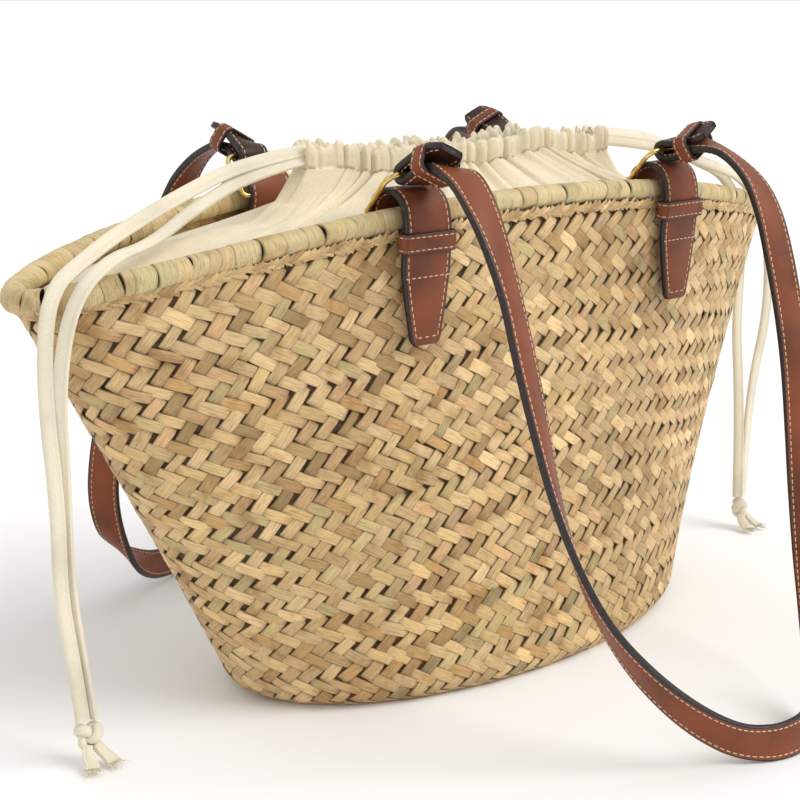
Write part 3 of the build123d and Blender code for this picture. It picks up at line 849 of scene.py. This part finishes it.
def nurbs_line(name, control):
    """Points along a smooth NURBS curve with those control points, in metres."""
    curve = bpy.data.curves.new(name, "CURVE")
    curve.dimensions = "3D"
    curve.resolution_u = 20
    spline = curve.splines.new("NURBS")
    spline.points.add(len(control) - 1)
    for point, place in zip(spline.points, control):
        point.co = (*place, 1)
    spline.order_u = 3
    spline.use_endpoint_u = True
    holder = bpy.data.objects.new(name, curve)
    mesh = bpy.data.meshes.new_from_object(holder)
    line = np.array([vertex.co for vertex in mesh.vertices])
    bpy.data.objects.remove(holder)
    bpy.data.meshes.remove(mesh)
    return line


def sweep(line, across, section, sizes, closed=False):
    """The points and faces of a section swept along a line; across is the direction of its first number."""
    side, up = side_and_up(line, across, closed)
    section = np.asarray(section, dtype=float)
    sizes = np.broadcast_to(np.asarray(sizes, dtype=float), (len(line), 2))
    points = (
        line[:, None]
        + side[:, None] * (section[None, :, :1] * sizes[:, None, :1])
        + up[:, None] * (section[None, :, 1:] * sizes[:, None, 1:])
    )
    faces = list(grid_faces(len(line), len(section), closed_rows=closed, closed_columns=True))
    if not closed:
        count = len(line) * len(section)
        faces.append(range(len(section)))
        faces.append(range(count - len(section), count)[::-1])
    return points.reshape(-1, 3), faces


def tape(name, node, control, face, turn):
    """One hanging leg of the flat cotton cord; it starts a little inside the channel."""
    line = nurbs_line(name, control)
    mm = line / MM
    part = np.linspace(0, 1, len(line))[:, None]
    angle = np.radians(turn[0] + (turn[1] - turn[0]) * part + 9 * np.sin(part * 9 + turn[0]))
    normal, side = side_and_up(mm, np.asarray(face, dtype=float) * np.ones_like(mm))
    across = side * np.cos(angle) + normal * np.sin(angle)
    points, faces = sweep(mm, across, TAPE_SECTION, (TAPE_WIDTH / 2, TAPE_THICK / 2))
    piece = new_piece(name, points, faces, [tape_cotton], "cotton_tape")
    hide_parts(node)


def knot(name, node, turn):
    """A tight overhand knot of the two tapes with two short frayed tails."""
    low, high = box_mm(node)
    middle = (low + high) / 2
    t = np.linspace(0, 2 * pi, 120, endpoint=False)
    x = (np.sin(t) + 2 * np.sin(2 * t)) * 2.1
    y = -1.5 * np.sin(3 * t) * 2.0
    z = (np.cos(t) - 2 * np.cos(2 * t)) * 2.15
    spin = radians(turn)
    line = np.stack([x * cos(spin) - y * sin(spin), x * sin(spin) + y * cos(spin), z], -1) + middle
    ring = np.linspace(0, 2 * pi, 12, endpoint=False)
    section = np.stack([np.cos(ring), np.sin(ring)], -1)
    parts = [sweep(line, np.cross(tangents(line), unit(line - middle)), section, (3.3, 2.5), closed=True)]
    for lean in (-1, 1):
        tail = middle + np.array([
            (2.5 * lean, -3.0, -5.0), (4.5 * lean, -6.5, -9.0),
            (5.5 * lean + 1, -10.0, -12.0), (7.0 * lean, -14.5, -13.6),
        ])
        tail[:, 2] = np.maximum(tail[:, 2], 2.0)
        fine = smooth_line(tail, 1.2)
        across = np.broadcast_to(np.array([1.0, 0.35 * lean, 0.1]), fine.shape)
        widths = np.stack([np.linspace(2.6, 4.2, len(fine)), np.linspace(2.0, 1.1, len(fine))], -1)
        parts.append(sweep(fine, across, TAPE_SECTION, widths))
        for _ in range(16):
            begin = fine[-1] + np.array([rng.uniform(-3.6, 3.6), 0.8, rng.uniform(-0.6, 0.6)])
            end = begin + np.array([rng.normal(0, 1.6), -rng.uniform(2, 6.5), rng.normal(-0.3, 1.0)])
            hair = np.array([begin, (begin + end) / 2 + rng.normal(0, 0.5, 3), end])
            hair[:, 2] = np.maximum(hair[:, 2], 0.5)
            hair = smooth_line(hair, 1.0)
            sizes = np.stack([np.linspace(0.3, 0.16, len(hair))] * 2, -1)
            parts.append(sweep(hair, np.array([1.0, 0, 0]) + 0 * hair, section[::2], sizes))
    piece = new_piece(name, *joined(parts), [tape_cotton], "cotton_tape")
    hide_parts(node)
    return piece


def build_cords():
    left_knot = knot("left_cord_knot", "left_drawcord_knot", -42)
    right_knot = knot("right_cord_knot", "right_drawcord_knot", 30)
    left, right = (-0.62, -0.62, 0.45), (-0.3, -0.9, 0.35)
    tape("left_cord_a", "left_drawcord_leg_a", LEFT_A, left, (6, 30))
    tape("left_cord_b", "left_drawcord_leg_b", LEFT_B, left, (-4, -26))
    tape("right_cord_a", "right_drawcord_leg_a", RIGHT_A, right, (8, -20))
    tape("right_cord_b", "right_drawcord_leg_b", RIGHT_B, right, (-8, 24))


# ---------------------------------------------------------------- the leather
LEATHER_COLUMNS = {*range(2, 10), *range(18, 26)}   # of the section's 32; the others are painted edge


def leather_section(groove):
    """A two-ply strip's section: 13 points over the top, 3 down the edge, and back below."""
    top = [(-1.0, 0.62), (-0.965, 0.93), (-0.9, 1.0)]
    top += [(-(groove + 0.055), 1.02), (-groove, 0.9), (-(groove - 0.055), 1.03)]
    top = top + [(0.0, 1.12)] + [(-u, h) for u, h in reversed(top)]
    edge = [(1.03, 0.3), (1.0, 0.0), (1.03, -0.3)]
    below = [(u, -h) for u, h in reversed(top)]
    return top + edge + below + [(-u, -h) for u, h in edge]


def strip(name, line, across, width, thick, body, closed=False, stitches=2.6, stitch_ends=(0.0, 0.0),
          fold_shade=None):
    """A stitched leather strip along a line in mm; across points from its middle to one edge."""
    half = np.broadcast_to(np.asarray(width, dtype=float), (len(line),)) / 2
    section = leather_section(1 - stitches / half.mean())
    sizes = np.stack([half, np.full(len(line), thick / 2)], -1)
    points, faces = sweep(line, across, section, sizes, closed=closed)
    index = [0 if len(face) == 4 and number % len(section) in LEATHER_COLUMNS else 1
             for number, face in enumerate(faces)]
    piece = new_piece(name, points, faces, [leather, leather_edge], "tan_leather", body, index)
    if fold_shade is not None:
        store(piece, "fold_shade", np.repeat(fold_shade, len(section)))
    side, up = side_and_up(line, across, closed)
    rows = []
    for top in (1, -1):
        for edge in (1, -1):
            row = line + side * (edge * (half - stitches))[:, None] + up * (top * (thick / 2 + 0.02))
            rows.append(np.vstack([row, row[:1]]) if closed else row)
    sew(name + "_stitches", rows, body, stitch_ends)
    return piece


STITCH, STITCH_PITCH, THREAD_RADIUS = 2.7, 3.9, 0.33
STITCH_SHAPE = ((-0.5, 0.35), (-0.4, 0.95), (0.0, 1.15), (0.4, 0.95), (0.5, 0.35))


def sew(name, rows, body, ends=(0.0, 0.0)):
    """A row of short waxed stitches along each line of points."""
    turn = np.linspace(0, 2 * pi, 6, endpoint=False)
    faces = list(grid_faces(len(STITCH_SHAPE), 6, closed_columns=True)) + [range(6), range(24, 30)[::-1]]
    parts = []
    for row in rows:
        run = run_along(row)
        length = run[-1] - ends[0] - ends[1]
        count = int(length // STITCH_PITCH)
        for middle in ends[0] + (np.arange(count) + 0.5) * length / count:
            low, high = (np.array([np.interp(middle + part * STITCH, run, row[:, k]) for k in range(3)])
                         for part in (-0.5, 0.5))
            centre, ahead = (low + high) / 2, unit(high - low)
            first = unit(np.cross(ahead, (0.31, 0.53, 0.79)))
            ring = np.cos(turn)[:, None] * first + np.sin(turn)[:, None] * np.cross(ahead, first)
            points = [centre + ahead * place * STITCH + ring * size * THREAD_RADIUS
                      for place, size in STITCH_SHAPE]
            parts.append((np.concatenate(points), faces))
    new_piece(name, *joined(parts), [thread], "tan_leather", body)


# Places along a strap, and the direction from its middle to one edge, for the front's left side.
FRONT_HALF = (
    (-115, -137, 299, -0.95, -0.1, -0.25), (-116, -149, 280, -0.96, -0.22, -0.12),
    (-115, -159, 255, -0.95, -0.3, 0), (-114, -169, 222, -0.95, -0.3, 0),
    (-112, -178, 188, -0.9, -0.4, 0), (-108, -187, 150, -0.8, -0.6, 0),
    (-101, -197, 114, -0.6, -0.8, 0), (-91, -209, 82, -0.35, -0.9, 0.1),
    (-76, -224, 54, -0.15, -0.85, 0.5), (-57, -240, 31, 0, -0.6, 0.8),
    (-37, -254, 16, 0.05, -0.25, 0.95), (-18, -264, 10.6, 0, 0.1, 1),
    (0, -268, 10.2, 0, 0.2, 1),
)
BACK_WIDE_HALF = (
    (-115, -135, 299, -0.95, -0.1, -0.25), (-119, -145, 280, -0.95, -0.25, -0.1),
    (-126, -153, 252, -0.9, -0.4, 0), (-136, -159, 220, -0.85, -0.5, 0),
    (-147, -163, 187, -0.8, -0.58, 0), (-158, -166, 152, -0.75, -0.65, 0),
    (-166, -168, 118, -0.73, -0.68, 0), (-168, -171, 86, -0.7, -0.7, 0.1),
    (-160, -177, 57, -0.6, -0.7, 0.35), (-142, -187, 34, -0.3, -0.6, 0.7),
    (-119, -199, 19, 0, -0.42, 0.9), (-94, -213, 12, 0.05, -0.3, 0.95),
    (-66, -225, 10.8, 0.02, -0.1, 1), (-38, -230, 11, 0, 0.2, 1),
)
BACK_STEEP_HALF = (
    (-115, -137, 299, -0.95, -0.1, -0.25), (-115, -147, 278, -0.96, -0.22, -0.12),
    (-111, -154, 256, -0.95, -0.3, 0), (-103, -162, 230, -0.93, -0.35, 0),
    (-93, -170, 200, -0.9, -0.42, 0), (-80, -180, 166, -0.85, -0.52, 0),
    (-65, -190, 132, -0.75, -0.65, 0.05), (-48, -200, 98, -0.6, -0.75, 0.15),
    (-30, -209, 68, -0.42, -0.75, 0.35), (-10, -218, 42, -0.25, -0.6, 0.6),
    (12, -225, 23, -0.1, -0.3, 0.85), (38, -230, 11, 0, 0.2, 1),
)
STRAP_HALVES = {"front": (FRONT_HALF, FRONT_HALF), "back": (BACK_WIDE_HALF, BACK_STEEP_HALF)}
FOLD = (                           # from the strap's end, round the ring and over the rim
    (-109, -107.5, 328.0, -0.86, 0, 0.5), (-109, -103.5, 326.6, -0.84, 0, 0.54),
    (-109, -97.5, 325.0, -0.84, 0, 0.54), (-109, -89, 322.5, -0.9, 0, 0.44),
    (-109, -82, 320.0, -0.96, 0, 0.25), (-109, -76.5, 318.4, -1, 0, 0.05),
    (-109, -72.7, 315.8, -1, 0, 0), (-109, -72.4, 311.8, -1, 0, 0),
    (-109, -76.0, 309.3, -1, 0, 0.05), (-109, -82, 310.6, -0.96, 0, 0.25),
    (-109, -90, 314.0, -0.9, 0, 0.42), (-109, -97, 316.6, -0.92, 0, 0.36),
    (-109, -103, 317.3, -1, 0, 0.15), (-111, -120, 313, -0.97, 0, -0.22),
)

STRAP_WIDTH, STRAP_THICK, STRAP_STEP = 20.0, 4.0, 1.6
STRAP_END = (0.72, 0.84, 0.92, 0.96, 0.985, 1.0)    # how its width grows from its rounded end
FOLD_SHADE_RUN = 62                     # the length of painted shade at each end, where the strap folds round its ring


def build_strap(face, y):
    """One handle: the fold through each ring, and the long strap that twists down to the floor."""
    left, right = (np.array(FOLD + half, dtype=float) for half in STRAP_HALVES[face])
    rows = np.vstack([left, right[-2::-1] * (-1, 1, 1, -1, 1, 1)]) * (1, y, 1, 1, y, 1)
    fine = smooth_line(rows, STRAP_STEP)
    line, across = fine[:, :3], unit(fine[:, 3:])
    width = np.full(len(line), STRAP_WIDTH)
    width[:6] = STRAP_WIDTH * np.array(STRAP_END)
    width[-6:] = width[5::-1]
    run = np.arange(len(line)) * STRAP_STEP
    # painted shade: the leather is darkened over its last 62 mm at each end, round the fold through the ring,
    # fading over the last 16 mm of that
    fold_shade = 0.85 * np.clip((FOLD_SHADE_RUN - np.minimum(run, run[::-1])) / 16, 0, 1)
    piece = strip(face + "_handle_strap", line, across, width, STRAP_THICK, face + "_handle",
                  stitch_ends=(3.0, 3.0), fold_shade=fold_shade)
    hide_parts(face + "_strap")
    for end, x in (("left", 1), ("right", -1)):
        build_keeper(face, end, x, y)


def rounded_loop(half_width, half_height, radius):
    """A closed rounded rectangle, as columns of its two coordinates."""
    points = []
    for corner, (su, sv) in enumerate(((1, 1), (-1, 1), (-1, -1), (1, -1))):
        for a in (corner + np.linspace(0, 1, 9)) * pi / 2:
            u = su * (half_width - radius) + radius * cos(a)
            points.append((u, sv * (half_height - radius) + radius * sin(a), 0))
    loop = smooth_line(points + points[:1], 0.8)[:-1]
    return loop[:, :1], loop[:, 1:2]


def build_keeper(face, end, x, y):
    """The stitched leather loop that holds the fold of the strap together."""
    flip = np.array([x, y, 1])
    ahead = unit((0.0, -1.0, 0.28))
    across = unit((-0.88, 0, 0.48))
    across = unit(across - ahead * (across @ ahead))
    u, v = rounded_loop(12.2, 7.6, 4.0)
    line = (np.array((-109.0, -94.0, 319.3)) + u * across + v * np.cross(ahead, across)) * flip
    if x * y < 0:
        line = line[::-1]
    name = face + "_" + end + "_keeper"
    side = np.broadcast_to(ahead * flip, line.shape)
    piece = strip(name + "_loop", line, side, 10.5, 2.0, face + "_handle", closed=True, stitches=1.7)
    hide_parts(name)


TAB_ROUTE = (                      # Y and Z, from the tip outside up and over the rim
    (-83.6, 219), (-84.2, 240), (-84.8, 260), (-86.2, 278), (-86.6, 287), (-84.4, 296.5),
    (-79.5, 302.3), (-72, 304.8), (-65, 303.4), (-59.2, 299), (-56.8, 291.5), (-58.4, 284),
    (-60.6, 277), (-63.8, 268), (-66.8, 261),
)
TAB_WIDTHS = (                     # the run from the tip, and the width there
    (0, 15.5), (1.2, 18.5), (3.5, 21.0), (22, 28), (40, 33.4), (48, 34), (62, 33), (85, 32), (170, 31),
)
TAB_LEAN = 0.03
BAND_HEIGHT = 277
CROSS_STITCHES = ((257, 0.2), (223.5, 3.0))    # the height of each row, and how far it stops short


def build_tab(face, end, x, y):
    """A leather tab folded over the rim, holding its ring, with a stitched band round it."""
    flip = np.array([x, y, 1])
    line = smooth_line([(-108.0, *place) for place in TAB_ROUTE], 1.1) * flip
    run = run_along(line)
    widths = np.interp(run, *np.array(TAB_WIDTHS).T)
    across = unit((1.0, -TAB_LEAN, 0)) * flip
    name = face + "_" + end + "_tab"
    piece = strip(name + "_leather", line, np.broadcast_to(across, line.shape), widths, 3.6, "basket",
                  stitches=3.0, stitch_ends=(5.0, 4.0))
    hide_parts(name)

    def outside_at(height):
        """The number of the point at that height on the outside."""
        return int(np.argmin(np.abs(line[:, 2] - height) + 100 * (np.abs(line[:, 1]) < 80)))

    middle = outside_at(BAND_HEIGHT)
    ahead = unit(line[middle + 1] - line[middle - 1])
    side = unit(across - ahead * (across @ ahead))
    up = np.cross(ahead, side) * (-x * y)
    u, v = rounded_loop(18.2, 3.5, 3.2)
    band_line = line[middle] + u * side + v * up
    if x * y > 0:
        band_line = band_line[::-1]
    band_side = np.broadcast_to(ahead, band_line.shape)
    band = strip(name + "_band_loop", band_line, band_side, 11.0, 2.2, "basket", closed=True, stitches=1.9)
    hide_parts(name + "_band")
    cross_rows = []
    for height, inset in CROSS_STITCHES:
        near = outside_at(height)
        half = widths[near] / 2 - inset
        part = np.linspace(-1, 1, 12)[:, None]
        cross_rows.append(line[near] + side * half * part + np.array([0, -1.95 * y, 0]))
    sew(name + "_cross_stitches", cross_rows, "basket")


def build_leather():
    for face, y in (("front", 1), ("back", -1)):
        build_strap(face, y)
        for end, x in (("left", 1), ("right", -1)):
            build_tab(face, end, x, y)
            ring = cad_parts[face + "_" + end + "_ring"]
            ring.data.materials.clear()
            ring.data.materials.append(brass)
            for polygon in ring.data.polygons:
                polygon.material_index = 0


# ---------------------------------------------------------------- floor, light and camera
def place_facing(name, data, location, ahead):
    """A light or camera at that place, looking ahead."""
    holder = bpy.data.objects.new(name, data)
    holder.location = location
    holder.rotation_euler = Vector(ahead).to_track_quat("-Z", "Y").to_euler()
    bpy.context.scene.collection.objects.link(holder)
    return holder


def build_studio():
    """A plain pale floor, a soft white surround, a broad key light and the camera."""
    world = bpy.data.worlds.new("surround")
    bpy.context.scene.world = world
    world.use_nodes = True
    surround = world.node_tree.nodes["Background"]
    surround.inputs["Color"].default_value = (1.0, 1.0, 1.0, 1)
    surround.inputs["Strength"].default_value = 0.83
    floor_mesh = bpy.data.meshes.new("floor")
    size = 900.0
    corners = [(-size, -size, 0), (size, -size, 0), (size, size, 0), (-size, size, 0)]
    floor_mesh.from_pydata(corners, [], [(0, 1, 2, 3)])
    paper = Nodes("pale_paper")
    speckle = paper.noise(3.0, 2, paper.place())
    shade = paper.ramp(speckle, ((0.3, (0.93, 0.93, 0.93)), (0.7, (0.95, 0.95, 0.95))))
    floor_mesh.materials.append(paper.finish(shade, 0.9, Specular_IOR_Level=0.1))
    floor = bpy.data.objects.new("floor", floor_mesh)
    bpy.context.scene.collection.objects.link(floor)

    sun = bpy.data.lights.new("key", "SUN")
    sun.energy, sun.angle, sun.color = 1.5, radians(38), (1.0, 0.99, 0.975)
    place_facing("key", sun, (0, 0, 0), (-0.36, 0.60, -0.72))

    camera = bpy.data.cameras.new("camera")
    camera.lens = 73.67
    camera.sensor_width = 36
    camera.shift_x = -0.0797
    holder = place_facing("camera", camera, (-0.7047, -0.7543, 0.4057), (0.6632, 0.7099, -0.2370))
    bpy.context.scene.camera = holder
    bpy.context.scene.view_settings.view_transform = "Standard"
    bpy.context.scene.view_settings.look = "None"


build_basket()
build_rim()
build_lashing()
build_lining()
build_cords()
build_leather()
build_studio()
